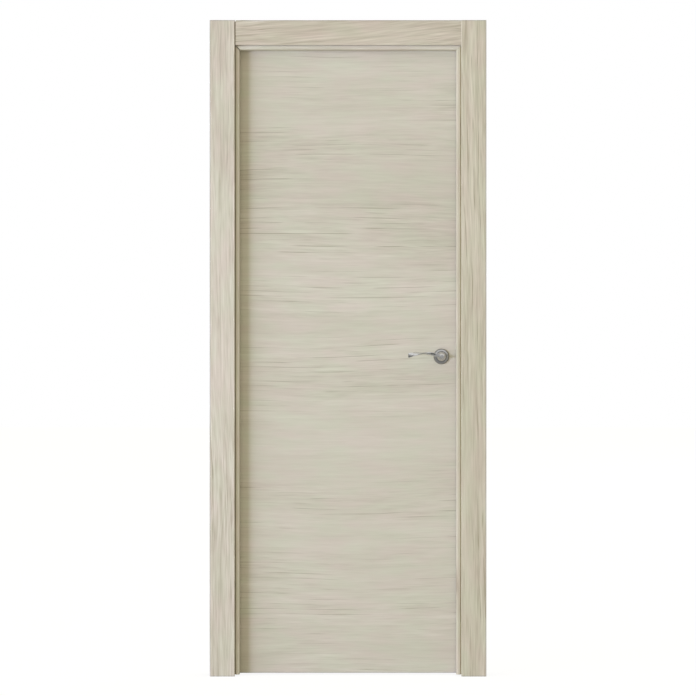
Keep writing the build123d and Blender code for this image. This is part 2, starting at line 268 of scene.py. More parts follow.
def reflected_only(name, form, strength):
    """A stage piece that only reflections see, at an even grey."""
    mesh = finished_mesh(name, form)
    piece = add_object(name, mesh)
    for rays in ("camera", "diffuse", "transmission", "volume_scatter", "shadow"):
        setattr(piece, f"visible_{rays}", False)
    finish, tree, shader = new_finish(name)
    tree.nodes.remove(shader)
    grey = place(tree, "ShaderNodeEmission", {"Color": white, "Strength": strength})
    tree.links.new(grey.outputs[0], tree.nodes["Material Output"].inputs[0])
    mesh.materials.append(finish)
    print(name, "of", len(mesh.polygons), "faces, seen by reflections only")


screen_form = bmesh.new()
foot = bmesh.ops.create_circle(screen_form, segments=round_sides, radius=screen_radius)["verts"]
bmesh.ops.translate(screen_form, verts=foot, vec=(door_middle, 0, screen_foot))
raised = bmesh.ops.extrude_edge_only(screen_form, edges=screen_form.edges[:])["geom"]
top = [corner for corner in raised if isinstance(corner, bmesh.types.BMVert)]
bmesh.ops.translate(screen_form, verts=top, vec=(0, 0, screen_rise))
reflected_only("grey_screen", screen_form, screen_glow)

# %% [markdown]
# ## A grey carpet for the metal
# The undersides of lever and rose would still mirror the white floor. The floor itself could be darker,
# but it has to run into the white ground. So a grey carpet lies on it inside the screen, and again only
# reflections see it.

# %% Carpet
carpet_height = architrave_low[2] + 0.005
carpet_glow = 0.36
carpet_form = bmesh.new()
bmesh.ops.create_circle(
    carpet_form, segments=round_sides, radius=screen_radius, cap_ends=True
)
bmesh.ops.translate(carpet_form, verts=carpet_form.verts, vec=(door_middle, 0, carpet_height))
reflected_only("grey_carpet", carpet_form, carpet_glow)

# %% [markdown]
# ## Grain
# The boards are covered with a pale, quiet veneer. Seen close, it has broad soft bands, streaks, fibres
# many times as long as they are wide, and sparse clusters of thin dark lines. An image of wood could be
# laid on, but it would repeat and run the wrong way on some boards. Noise that is drawn out along the
# grain gives bands, streaks and fibres of any size. All places are in metres on the board, so the grain
# has its real size and swings with the leaf.

# %% Noise along the grain
fibre_size = (5.0, 78.0, 2.0, 1.0)
millimetres = 1000


def noise(tree, position, detail=2.0, roughness=0.5):
    """A soft random value round 0.5, at one blob for each unit of position."""
    made = place(
        tree, "ShaderNodeTexNoise",
        {"Vector": position, "Scale": 1.0, "Detail": detail, "Roughness": roughness},
    )
    return made.outputs["Fac"]


def joined(tree, first, second, third):
    """Three values as one position."""
    return place(tree, "ShaderNodeCombineXYZ", {0: first, 1: second, 2: third}).outputs[0]


def drawn_out(tree, at, size, finer=1.0):
    """Noise along the grain. Size: blobs a metre along and across it, detail and roughness."""
    along, across, depth, seed = at
    along_rate, across_rate, detail, roughness = size
    across_rate = across_rate * finer
    return noise(tree, joined(
        tree,
        calc(tree, "MULTIPLY_ADD", along, along_rate, seed),
        calc(tree, "MULTIPLY", across, across_rate),
        calc(tree, "MULTIPLY_ADD", depth, across_rate, seed),
    ), detail, roughness)


fibre_long, fibre_wide = (millimetres / rate for rate in fibre_size[:2])
print("fibres", round(fibre_wide, 1), "mm wide and", fibre_long, "mm long")

# %% [markdown]
# ## Bends in the grain
# A tree is never quite straight, so the fibres of its veneer wander, and neighbours wander together. The
# noise node can distort itself, but that frays the fibres. Here the place across the grain is pushed to
# and fro before any fibre is drawn, once slowly and far, and once more in small steps.

# %% Bends
slow_bend = (1.1, 2.6, 0.050)
small_bend = (5.0, 14.0, 0.0035)
bend_detail = 1.0
noise_middle = 0.5


def bent(tree, at, position, bend):
    """Push a position to and fro. Bend: blobs a metre along and across, and metres of reach."""
    along, across, depth, seed = at
    along_rate, across_rate, reach = bend
    wander = noise(tree, joined(
        tree,
        calc(tree, "MULTIPLY_ADD", along, along_rate, seed),
        calc(tree, "MULTIPLY", across, across_rate),
        depth,
    ), bend_detail)
    return calc(tree, "MULTIPLY_ADD", calc(tree, "SUBTRACT", wander, noise_middle), reach, position)


print("grain bends by up to", slow_bend[2] / 2 * millimetres, "mm each way")

# %% [markdown]
# ## Growth rings
# A dark line in veneer is a growth ring, cut almost lengthwise. A wave texture could draw such lines,
# but they come out too even. Here a line lies wherever the bent place across the grain passes a whole
# number of ring spacings, so that lines follow the bends together, as growth rings do. A ramp over the
# fraction gives each line a sharp side and a soft one.

# %% Ring lines
ring_spacing = 0.0165
ring_drift = 2.4
ring_stops = ((0.0, 1.0), (0.05, 0.50), (0.13, 0.0), (0.94, 0.0), (1.0, 1.0))


def ramp(tree, value, stops):
    """Turn a value from 0 to 1 into a colour. Stops are pairs of a place and a colour."""
    made = place(tree, "ShaderNodeValToRGB", {0: value})
    elements = made.color_ramp.elements
    first, *between, last = stops
    elements[0].position, elements[0].color = first[0], (*first[1], 1)
    elements[1].position, elements[1].color = last[0], (*last[1], 1)
    for position, colour in between:
        elements.new(position).color = (*colour, 1)
    return made.outputs[0]


def ring_lines(tree, across, drift):
    """One on a ring's line and nothing between rings, which drift apart and together."""
    passed = calc(tree, "DIVIDE", across, ring_spacing)
    ring_place = calc(tree, "MULTIPLY_ADD", drift, ring_drift, passed)
    greys = [(position, (level, level, level)) for position, level in ring_stops]
    return ramp(tree, calc(tree, "FRACT", ring_place), greys)


print("rings", ring_spacing * millimetres, "mm apart")

# %% [markdown]
# ## Tone of the veneer
# Bands, streaks, fibres and lines could each carry a colour. They are added up to one grey tone
# instead, because one tone can drive colour, roughness and bump together: a dark line is then also a
# little rougher and lower. Lines show only in clusters, and one more noise breaks them up. `lively` sets
# how strong a board's figure is, `fine` how narrow its fibres are.

# %% Grain tone
drift_size = (0.5, 3.2, 1.0, 0.5)
streak_size = (0.85, 8.2, 3.0, 0.85)
cluster_size = (1.3, 7.0, 1.0, 0.5)
gap_size = (5.0, 46.0, 2.0, 0.6)
cluster_range = (0.42, 0.60)
gap_range = (0.49, 0.63)
plain_fibres, cluster_fibres = 0.60, 0.55
depth_lean = 0.6
drift_depth, streak_depth, fibre_depth, line_depth = 0.30, 0.34, 0.50, 0.62
line_cover = 0.035
tone_middle = 0.5


def spread(tree, value, low, high):
    """Stretch a value so that low becomes 0 and high becomes 1, and stop there."""
    made = place(tree, "ShaderNodeMapRange", {"Value": value, "From Min": low, "From Max": high})
    return made.outputs[0]


def grain_tone(tree, along, across, depth, seed, slope, lively, fine):
    """The veneer's tone: about 0.5 in the mean, lower in dark lines, higher in pale streaks."""
    place_across = calc(tree, "MULTIPLY_ADD", depth, depth_lean, across)
    leaning = calc(tree, "MULTIPLY_ADD", along, slope, place_across)
    straight = (along, leaning, depth, seed)
    curved = bent(tree, straight, bent(tree, straight, leaning, slow_bend), small_bend)
    at = (along, curved, depth, seed)

    drift = drawn_out(tree, at, drift_size)
    streaks = drawn_out(tree, at, streak_size)
    clustered = spread(tree, drawn_out(tree, at, cluster_size), *cluster_range)
    fibre_share = calc(tree, "MULTIPLY_ADD", clustered, cluster_fibres, plain_fibres)
    fibres = calc(tree, "SUBTRACT", drawn_out(tree, at, fibre_size, fine), noise_middle)
    fibres = calc(tree, "MULTIPLY", fibres, fibre_share)
    broken = spread(tree, drawn_out(tree, at, gap_size), *gap_range)
    kept = calc(tree, "MULTIPLY", clustered, broken)
    lines = calc(tree, "MULTIPLY", ring_lines(tree, curved, drift), kept)

    streak_part, line_part = streak_depth * lively, line_depth * lively
    level = tone_middle - noise_middle * (streak_part + drift_depth) + line_cover * line_part
    tone = calc(tree, "MULTIPLY_ADD", streaks, streak_part, level)
    tone = calc(tree, "MULTIPLY_ADD", fibres, fibre_depth * lively * fine, tone)
    tone = calc(tree, "MULTIPLY_ADD", drift, drift_depth, tone)
    return calc(tree, "MULTIPLY_ADD", lines, -line_part, tone)


print("streaks", round(millimetres / streak_size[1]), "mm wide, dark lines in clusters")

# %% [markdown]
# ## Marks of making and use, and painted shade
# Sawn ends and faces against the wall are raw board, free arrises get painted shade, and the bottom of
# the groove beside an architrave gets painted shade or painted light. Each could be painted on the mesh
# by hand, but a mark that is worked out needs no painting: the surface normal says which face is raw, the
# distance from an edge where the shade is painted, and two places on an axis where the groove runs.

# %% Where the marks are
edge_shade_reach = 0.0035
edge_shade_fade = (1.0, 0.6)
facing_limit = 0.9


def faces_towards(tree, facing, sides):
    """One on faces that look to one of the sides, such as '+Z'."""
    found = 0.0
    for side in sides:
        sign = 1.0 if side[0] == "+" else -1.0
        towards = calc(tree, "MULTIPLY", facing.outputs[side[1]], sign)
        found = calc(tree, "MAXIMUM", found, calc(tree, "GREATER_THAN", towards, facing_limit))
    return found


def near_edges(tree, spot, edges, wander):
    """One at an edge, given as an axis and a place on it, and nothing a few millimetres away."""
    found = 0.0
    for axis, edge in edges:
        away = calc(tree, "ABSOLUTE", calc(tree, "SUBTRACT", spot.outputs[axis], edge))
        reach = calc(tree, "MULTIPLY_ADD", wander, edge_shade_reach, 0.5 * edge_shade_reach)
        close = spread(tree, calc(tree, "DIVIDE", away, reach), *edge_shade_fade)
        found = calc(tree, "MAXIMUM", found, close)
    return found


def in_groove(tree, spot, axis, low, high, behind):
    """One inside a groove between two places on an axis, before a depth."""
    after = calc(tree, "GREATER_THAN", spot.outputs[axis], low)
    before = calc(tree, "LESS_THAN", spot.outputs[axis], high)
    front = calc(tree, "LESS_THAN", spot.outputs["Y"], behind)
    return calc(tree, "MULTIPLY", front, calc(tree, "MULTIPLY", after, before))


print("arrises rubbed over about", edge_shade_reach * millimetres, "mm")

# %% [markdown]
# ## From tone to colour
# A tone is not yet a colour. Every board could have its own three colours, but it is one wood: a ramp
# from dark to light, times the board's tint, makes the boards kin. Real wood also shifts a little to
# green here and to pink there, and a soft noise does that.

# %% Wood colours
veneer_shades = (
    (0.0, (0.365, 0.322, 0.234)), (0.5, (0.613, 0.574, 0.468)), (1.0, (0.812, 0.776, 0.672)),
)
patch_shades = ((0.34, (0.966, 1.0, 0.972)), (0.66, (1.0, 0.966, 0.990)))
patch_along, patch_across = 7.0, 19.0


def blend_colours(tree, share, first, second, kind="MIX"):
    """Blend two colours, from the first at share 0 to the second at share 1."""
    made = tree.nodes.new("ShaderNodeMix")
    made.data_type = "RGBA"
    made.blend_type = kind
    plug(tree, made.inputs[0], share)
    plug(tree, made.inputs[6], first)
    plug(tree, made.inputs[7], second)
    return made.outputs[2]


def veneer_colour(tree, tone, along, across, depth, seed, tint):
    """The tone as a colour of the board's tint, greener and pinker in patches."""
    shades = [
        (position, tuple(part * share for part, share in zip(colour, tint)))
        for position, colour in veneer_shades
    ]
    patch = noise(tree, joined(
        tree,
        calc(tree, "MULTIPLY_ADD", along, patch_along, seed),
        calc(tree, "MULTIPLY", across, patch_across),
        depth,
    ))
    wood = ramp(tree, tone, shades)
    return blend_colours(tree, 1.0, wood, ramp(tree, patch, patch_shades), "MULTIPLY")


print("veneer from", veneer_shades[0][1], "to", veneer_shades[-1][1])

# %% [markdown]
# ## Raw board
# Under the veneer lies brown fibre board, and a sawn end or a back shows it. It could take the veneer's
# grain in brown, but pressed fibre has no direction. A fine noise, alike in all directions, speckles it
# in two browns.

# %% Raw board
raw_board = (0.190, 0.125, 0.074)
raw_dark = 0.6
grit_rate, grit_detail, grit_roughness = 900.0, 2.0, 0.7


def raw_colour(tree, position, raw_tone):
    """Raw board: fine specks of two browns."""
    grit = place(tree, "ShaderNodeVectorMath", {0: position, 3: grit_rate}, operation="SCALE")
    specks = noise(tree, grit.outputs[0], grit_detail, grit_roughness)
    return ramp(tree, specks, [
        (end, tuple(share * raw_tone * part for part in raw_board))
        for end, share in ((0.0, raw_dark), (1.0, 1.0))
    ])


print("raw board of", raw_board)

# %% [markdown]
# ## Veneer
# Lacquered veneer is matt, and its pores can be seen in slanting light. A flat colour with an even gloss
# would look like paint. So the recipe lays the marks over the wood's colour, one after another, and
# then lets the tone also vary roughness and raise a slight relief.

# %% Veneer recipe
# Painted shade on the free arrises of the architraves and at the leaf's foot.
edge_shade_grey = (0.80, 0.82, 0.89, 1)
veneer_rough, veneer_smoother = 0.62, -0.16
veneer_sheen = 0.30
veneer_relief = (0.22, 0.0006)


def raise_relief(tree, shader, height, strength, distance):
    """Tilt the shading as if the surface rose with a height."""
    bump = place(
        tree, "ShaderNodeBump", {"Height": height, "Strength": strength, "Distance": distance}
    )
    plug(tree, shader.inputs["Normal"], bump.outputs[0])


def veneer(
    name, grain, seed, slope=0.0, raw=(), raw_tone=1.0, lively=1.0, fine=1.0, tint=(1, 1, 1),
    painted_shade=(), groove=None,
):
    """Veneer with its grain along X or Z and the marks that this board has."""
    finish, tree, shader = new_finish(name)
    where = tree.nodes.new("ShaderNodeTexCoord")
    spot = place(tree, "ShaderNodeSeparateXYZ", {0: where.outputs["Object"]})
    facing = place(tree, "ShaderNodeSeparateXYZ", {0: where.outputs["Normal"]})
    along, across = spot.outputs[grain], spot.outputs["Z" if grain == "X" else "X"]
    depth = spot.outputs["Y"]
    tone = grain_tone(tree, along, across, depth, seed, slope, lively, fine)
    colour = veneer_colour(tree, tone, along, across, depth, seed, tint)
    # Painted shade on the free arrises.
    if painted_shade:
        shaded_arris = near_edges(tree, spot, painted_shade, tone)
        colour = blend_colours(tree, shaded_arris, colour, edge_shade_grey, "MULTIPLY")
    # Painted shade or painted light at the bottom of the groove.
    if groove:
        shade, *limits = groove
        inside = in_groove(tree, spot, *limits)
        colour = blend_colours(tree, inside, colour, shade, "MULTIPLY")
    if raw:
        board = raw_colour(tree, where.outputs["Object"], raw_tone)
        colour = blend_colours(tree, faces_towards(tree, facing, raw), colour, board)
    plug(tree, shader.inputs["Base Color"], colour)
    roughness = calc(tree, "MULTIPLY_ADD", tone, veneer_smoother, veneer_rough)
    plug(tree, shader.inputs["Roughness"], roughness)
    shader.inputs["Specular IOR Level"].default_value = veneer_sheen
    raise_relief(tree, shader, tone, *veneer_relief)
    return finish


print("veneer roughness about", veneer_rough + 0.5 * veneer_smoother)

# %% [markdown]
# ## Leaf
# The leaf has a panel on each side, with the grain across the door, and a band on both long edges, with
# the grain up. One finish for all three would run the wrong way on the bands and match front to back, so
# each has its own place in the noise. The sawn ends at top and bottom stay raw, and the foot gets painted
# shade.

# %% Leaf panels and edge bands
leaf_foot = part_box("leaf_front_panel")[0][2]
sawn_ends = ("+Z", "-Z")


def dress(finish, *names):
    """Give a finish to CAD pieces."""
    for name in names:
        mesh = nodes[name].data
        mesh.materials.clear()
        mesh.materials.append(finish)
    print(finish.name, "on", ", ".join(names))


for side, seed in (("front", 17.3), ("back", 21.4)):
    panel = veneer(
        f"leaf_{side}_veneer", "X", seed, raw=sawn_ends, painted_shade=[("Z", leaf_foot)]
    )
    dress(panel, f"leaf_{side}_panel")
dress(veneer("edge_band_veneer", "Z", 8.1), "leaf_hinge_edge_band", "leaf_latch_edge_band")

# %% [markdown]
# ## Grooves and free edges of the frame
# A groove runs between each stop and its architrave. It could be left to the light alone, but so narrow
# a groove turns too dark or too pale, so its bottom gets painted shade or painted light for each side. An
# architrave also has edges that stand free and get painted shade. Both are worked out from the boxes of
# the pieces.

# %% Grooves and edges
groove_width = 0.0049
groove_margin = 0.001
groove_set_back = 0.012
groove_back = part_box("hinge_stop")[1][1] - groove_set_back
# Painted light and shade at the bottom of each groove: darker on the hinge side, paler on the latch side
# and at the head.
groove_painted_light = {
    "hinge": (0.80, 0.78, 0.75, 1), "latch": (1.60, 1.60, 1.60, 1), "head": (1.35, 1.35, 1.35, 1),
}


def groove_beside(side):
    """The groove of one stop: its painted shade or light, its axis, its two sides and its back."""
    low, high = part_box(f"{side}_stop")
    if side == "hinge":
        return groove_painted_light[side], "X", low[0] - groove_margin, low[0] + groove_width, groove_back
    axis, far = ("X", high[0]) if side == "latch" else ("Z", high[2])
    return groove_painted_light[side], axis, far - groove_width, far + groove_margin, groove_back


def outer_edges(name):
    """The edges of an architrave that stand free."""
    low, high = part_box(name)
    if "head" in name:
        return [("Z", high[2])]
    return [("X", low[0] if "hinge" in name else high[0]), ("Z", low[2]), ("Z", high[2])]


print("grooves", groove_width * millimetres, "mm wide")

# %% [markdown]
# ## Uprights of the frame
# On the uprights the grain runs up, along the board, and on the architraves it is livelier and finer
# than on the leaf. One veneer could serve all of them, but no two boards are cut from the same spot, so
# each gets its own place in the noise. Each side also has its own tint: the left upright is the palest,
# the latch side and the head darker.

# %% Jambs, stops and upright architraves
board_lively = {"hinge": 2.35, "latch": 1.5, "head": 2.3}
board_fine = 1.5
board_slope = 0.012
stop_lively = 1.4
jamb_raw_tone = 2.0
side_tint = {
    "hinge": (1.02, 1.0, 0.992), "latch": (0.945, 0.925, 0.868), "head": (0.893, 0.849, 0.812),
}
first_seed, side_step, stop_step, face_step = 40.0, 13.0, 2.3, 5.9

for number, (side, wall_side) in enumerate((("hinge", "-X"), ("latch", "+X"))):
    tint = side_tint[side]
    seed = first_seed + side_step * number
    jamb = veneer(
        f"{side}_jamb_veneer", "Z", seed, raw=sawn_ends + (wall_side,), raw_tone=jamb_raw_tone,
        tint=tint,
    )
    dress(jamb, f"{side}_jamb")
    stop = veneer(
        f"{side}_stop_veneer", "Z", seed + stop_step, raw=sawn_ends, lively=stop_lively,
        tint=tint, groove=groove_beside(side),
    )
    dress(stop, f"{side}_stop")
    for face, wall_face in (("front", "+Y"), ("back", "-Y")):
        seed += face_step
        name = f"{face}_{side}_architrave"
        board = veneer(
            f"{name}_veneer", "Z", seed, board_slope, raw=sawn_ends + (wall_face,),
            lively=board_lively[side], fine=board_fine, tint=tint, painted_shade=outer_edges(name),
        )
        dress(board, name)

# %% [markdown]
# ## Head of the frame
# On the head pieces the grain runs across the doorway and leans a little, as in a board that was not
# cut quite along the tree. Turning the uprights' finish would do, but it would copy their figure, so
# the head pieces have their own places in the noise too. They are the pinkest boards.

# %% Head jamb, stop and architraves
head_jamb = veneer(
    "head_jamb_veneer", "X", 71.3, raw=("+Z",), raw_tone=jamb_raw_tone, tint=side_tint["head"]
)
dress(head_jamb, "head_jamb")
head_stop = veneer(
    "head_stop_veneer", "X", 75.8, lively=stop_lively, groove=groove_beside("head")
)
dress(head_stop, "head_stop")
for face, seed, slope, wall_face in (("front", 80.2, -0.09, "+Y"), ("back", 86.6, 0.05, "-Y")):
    name = f"{face}_head_architrave"
    board = veneer(
        f"{name}_veneer", "X", seed, slope, raw=("+X", "-X", wall_face),
        lively=board_lively["head"], fine=board_fine, tint=side_tint["head"],
        painted_shade=outer_edges(name),
    )
    dress(board, name)

# %% [markdown]
# ## Timber inside the leaf
# The leaf's top and bottom edges show its make-up: softwood stiles and rails between the two panels.
# Softwood has stronger rings than the veneer. Lines on the sides and arcs on the ends could be two
# finishes, but rings round a far-off pith, cut by the surface, give both without extra care.

# %% Softwood
pith_side, pith_depth = 0.11, 0.06
rings_per_metre = 260.0
ring_wander, wander_rate = 3.0, 1.6
softwood_shades = ((0.0, (0.62, 0.46, 0.27)), (0.75, (0.58, 0.42, 0.24)), (1.0, (0.47, 0.30, 0.15)))
softwood_smooth, softwood_rougher = 0.66, 0.12
softwood_sheen = 0.25
softwood_relief = (0.2, 0.0003)


def length_of(tree, first, second):
    """How far two steps at right angles lead."""
    squares = [calc(tree, "POWER", step, 2.0) for step in (first, second)]
    return calc(tree, "SQRT", calc(tree, "ADD", *squares))


def softwood(name, grain, seed):
    """Sawn softwood: growth rings round a pith that lies outside the board."""
    finish, tree, shader = new_finish(name)
    where = tree.nodes.new("ShaderNodeTexCoord")
    spot = place(tree, "ShaderNodeSeparateXYZ", {0: where.outputs["Object"]})
    side, depth = spot.outputs["X" if grain == "Z" else "Z"], spot.outputs["Y"]
    along = calc(tree, "MULTIPLY_ADD", spot.outputs[grain], wander_rate, seed)
    wander = calc(tree, "MULTIPLY", noise(tree, joined(tree, along, side, depth)), ring_wander)
    from_pith = length_of(
        tree, calc(tree, "ADD", side, pith_side), calc(tree, "ADD", depth, pith_depth)
    )
    rings = calc(tree, "FRACT", calc(tree, "MULTIPLY_ADD", from_pith, rings_per_metre, wander))
    plug(tree, shader.inputs["Base Color"], ramp(tree, rings, softwood_shades))
    roughness = calc(tree, "MULTIPLY_ADD", rings, softwood_rougher, softwood_smooth)
    plug(tree, shader.inputs["Roughness"], roughness)
    shader.inputs["Specular IOR Level"].default_value = softwood_sheen
    raise_relief(tree, shader, rings, *softwood_relief)
    return finish


dress(softwood("stile_softwood", "Z", 2.2), "leaf_hinge_stile", "leaf_latch_stile")
dress(softwood("rail_softwood", "X", 9.4), "leaf_top_rail", "leaf_bottom_rail")

# %% [markdown]
# ## Core of the leaf
# Between stiles and rails lies a core of particle board: pressed chips of mixed tone. Noise would look
# like cork. A Voronoi texture splits the surface into cells, and each cell becomes one chip.

# %% Particle board
chips_per_metre = 260.0
chip_shades = ((0.0, (0.30, 0.20, 0.11)), (1.0, (0.58, 0.43, 0.26)))
chip_roughness = 0.8
chip_relief = (0.4, 0.0005)


def particle_board(name):
    """Pressed chips of mixed tone."""
    finish, tree, shader = new_finish(name)
    where = tree.nodes.new("ShaderNodeTexCoord")
    chips = place(
        tree, "ShaderNodeTexVoronoi",
        {"Vector": where.outputs["Object"], "Scale": chips_per_metre},
    )
    chip = place(tree, "ShaderNodeSeparateColor", {0: chips.outputs["Color"]}).outputs[0]
    plug(tree, shader.inputs["Base Color"], ramp(tree, chip, chip_shades))
    shader.inputs["Roughness"].default_value = chip_roughness
    raise_relief(tree, shader, chips.outputs["Distance"], *chip_relief)
    return finish


dress(particle_board("core_board"), "leaf_core")

# %% [markdown]
# ## Seal
# A soft hollow seal sits in a kerf of each stop. It is matt and a shade darker than the veneer. An even
# colour would do from afar, but an open door shows the faint lengthwise ripple that a die leaves on
# rubber, so a noise with long, very narrow blobs varies colour, roughness and relief.

# %% Rubber
ripple_rates = (1400.0, 1400.0, 40.0)
ripple_detail = 3.0
rubber_shades = ((0.0, (0.215, 0.180, 0.130)), (1.0, (0.300, 0.260, 0.195)))
rubber_smooth, rubber_rougher = 0.55, 0.2
rubber_relief = (0.25, 0.0002)


def stretched_marks(tree, where, rates, detail):
    """Noise with its own number of blobs a metre along X, Y and Z."""
    stretch = place(
        tree, "ShaderNodeMapping", {"Vector": where.outputs["Object"], "Scale": rates}
    )
    return noise(tree, stretch.outputs[0], detail)


def seal_rubber(name):
    """Matt extruded rubber."""
    finish, tree, shader = new_finish(name)
    where = tree.nodes.new("ShaderNodeTexCoord")
    ripple = stretched_marks(tree, where, ripple_rates, ripple_detail)
    plug(tree, shader.inputs["Base Color"], ramp(tree, ripple, rubber_shades))
    roughness = calc(tree, "MULTIPLY_ADD", ripple, rubber_rougher, rubber_smooth)
    plug(tree, shader.inputs["Roughness"], roughness)
    raise_relief(tree, shader, ripple, *rubber_relief)
    return finish


dress(seal_rubber("soft_seal_rubber"), "hinge_seal", "latch_seal", "head_seal")

# %% [markdown]
# ## Satin metal
# Roses, levers, hinges and latch are satin metal: not a mirror, but brushed so finely that it blurs what
# it reflects. A higher roughness alone would blur as much, but look cast. Turned pieces carry rings round
# their axis, flat ones straight strokes. The strokes vary roughness and tilt the surface very slightly,
# which widens highlights as on the real thing.

# %% Metal recipe
handle_axis = frame["record"]["behaviour"]["joints"][1]["pos_m"]
stroke_rate = 2600.0
stroke_detail = 3.0
stroke_range = (0.3, 0.7)
stroke_dark, stroke_light = 0.93, 1.06
gloss_range = 0.16
metal_relief = (0.06, 0.0001)
# Painted shade for the rose's rim and valley and for the lever blade's edges.
painted_metal_shade = (0.46, 0.46, 0.45, 1)


def from_axis(tree, spot):
    """How far a spot lies from the spindle's axis."""
    out = calc(tree, "SUBTRACT", spot.outputs["X"], handle_axis[0])
    up = calc(tree, "SUBTRACT", spot.outputs["Z"], handle_axis[2])
    return length_of(tree, out, up)


def satin_metal(name, colour, strokes=None, turned=False, gloss=0.30, painted_shade_mask=None):
    """Brushed metal: strokes scale the marks along X, Y and Z; turned marks go round the spindle."""
    finish, tree, shader = new_finish(name)
    where = tree.nodes.new("ShaderNodeTexCoord")
    spot = place(tree, "ShaderNodeSeparateXYZ", {0: where.outputs["Object"]})
    if turned:
        out = calc(tree, "MULTIPLY", from_axis(tree, spot), stroke_rate)
        depth = calc(tree, "MULTIPLY", spot.outputs["Y"], stroke_rate)
        marks = noise(tree, joined(tree, out, depth, 0.0), stroke_detail)
    else:
        marks = stretched_marks(tree, where, strokes, stroke_detail)
    skin = ramp(tree, marks, (
        (stroke_range[0], tuple(stroke_dark * part for part in colour)),
        (stroke_range[1], tuple(min(1.0, stroke_light * part) for part in colour)),
    ))
    # Painted shade where the mask is one.
    if painted_shade_mask:
        skin = blend_colours(tree, painted_shade_mask(tree, where, spot), skin, painted_metal_shade, "MULTIPLY")
    plug(tree, shader.inputs["Base Color"], skin)
    shader.inputs["Metallic"].default_value = 1.0
    roughness = calc(tree, "MULTIPLY_ADD", marks, gloss_range, gloss - 0.5 * gloss_range)
    plug(tree, shader.inputs["Roughness"], roughness)
    raise_relief(tree, shader, marks, *metal_relief)
    return finish


print("handle turns about", [round(value, 4) for value in handle_axis])

# %% [markdown]
# ## Roses
# A rose is the round plate behind a lever. Its outer rim and the valley round its hub get painted shade,
# darker than the rest. Loose dark rings could be laid on, but they would show as rings when seen close. A
# mark in the finish has no edge of its own, and the distance from the spindle finds both places.

# %% Roses
# Painted shade on the rose's outer rim and in the valley round its hub.
rim_radius = 0.0234
valley_radius = 0.0156
valley_fade = (0.0024, 0.0006)
rose_colour = (0.46, 0.46, 0.46)


def rose_hollows(tree, where, spot):
    """One on the outer rim of the rose and in the valley round its hub."""
    radius = from_axis(tree, spot)
    rim = calc(tree, "GREATER_THAN", radius, rim_radius)
    away = calc(tree, "ABSOLUTE", calc(tree, "SUBTRACT", radius, valley_radius))
    return calc(tree, "MAXIMUM", rim, spread(tree, away, *valley_fade))


rose_finish = satin_metal("rose_nickel", rose_colour, turned=True, painted_shade_mask=rose_hollows)
dress(rose_finish, "front_rose", "back_rose")

# %% [markdown]
# ## Levers
# The lever is a blade that twists along its length, and its narrow edges get painted shade, darker than
# its broad faces. They could be picked out face by face, but the blade has hundreds. The surface normal
# finds
# them: an edge looks level, a broad face up or down. The strokes run along the blade.

# %% Levers
neck_reach = 0.021
blade_root = handle_axis[0] - neck_reach
blade_fade = (0.42, 0.22)
lever_colour = (0.66, 0.66, 0.655)
lever_strokes = (60.0, stroke_rate, stroke_rate)


# Painted shade on the narrow edges of the blade.
def blade_edge(tree, where, spot):
    """One on the narrow edges of the lever's blade, which look level."""
    facing = place(tree, "ShaderNodeSeparateXYZ", {0: where.outputs["Normal"]})
    level = spread(tree, calc(tree, "ABSOLUTE", facing.outputs["Z"]), *blade_fade)
    return calc(tree, "MULTIPLY", level, calc(tree, "LESS_THAN", spot.outputs["X"], blade_root))


lever_finish = satin_metal(
    "lever_nickel", lever_colour, strokes=lever_strokes, gloss=0.28, painted_shade_mask=blade_edge
)
dress(lever_finish, "front_lever", "back_lever")
# In the photograph the handle throws hardly any shadow, so this lever's own is switched off.
nodes["front_lever"].visible_shadow = False

# %% [markdown]
# ## Hinges and latch
# Flaps, pins, faceplate and strike are rolled or drawn, so their strokes run up and down. They could
# share the lever's finish, but that has its strokes across and a brighter colour, so hinges and latch
# get two satin metals of their own.

# %% Hinges and latch
hinge_places = ("top", "middle", "bottom")
hinge_colour = (0.55, 0.545, 0.53)
latch_colour = (0.58, 0.575, 0.56)
upright_strokes = (2400.0, 2400.0, 70.0)
dress(
    satin_metal("hinge_nickel", hinge_colour, strokes=upright_strokes, gloss=0.34),
    *(
        f"{height}_hinge_{piece}"
        for height in hinge_places for piece in ("frame_flap", "leaf_flap", "pin")
    ),
)
dress(
    satin_metal("latch_steel", latch_colour, strokes=upright_strokes, gloss=0.28),
    "latch_faceplate", "latch_bolt", "latch_case", "strike_plate", "handle_spindle",
)

# %% [markdown]
# ## Soft shading on rounds
# The pieces come in as triangles, and a turned rose would show its facets. A subdivision modifier could
# round them, but it would change their shape. Smooth shading leaves it alone, and edges sharper than 30
# degrees are marked sharp so that steps and rims stay crisp.

# %% Smooth the rounds
sharp_angle = math.radians(30)
rounded_words = ("rose", "lever", "hinge_", "latch_", "seal", "architrave", "stop")
rounded = [name for name in nodes if any(word in name for word in rounded_words)]
for name in rounded:
    mesh = nodes[name].data
    mesh.shade_smooth()
    mesh.set_sharp_from_angle(angle=sharp_angle)
print(len(rounded), "pieces shaded smooth")

# %% [markdown]
# ## Outlines of a screw head
# Hinge flaps, the latch's faceplate and the strike are held by countersunk cross-head screws. A disc
# would do from afar, but an open door shows them close, so each head has a shallow dome and a real cross
# cut into it. A boolean could cut the cross, but it leaves untidy faces. Two kinds of outline, a circle
# and a cross, are enough to build the head from bands.

# %% Screw outlines
screw_radius = 0.0036
cross_reach = 0.0019
cross_half = 0.00045
head_sides = 24


def round_corners(radius, height):
    """Corners on a circle."""
    turns = [2 * math.pi * step / head_sides for step in range(head_sides)]
    return [(radius * math.cos(turn), radius * math.sin(turn), height) for turn in turns]


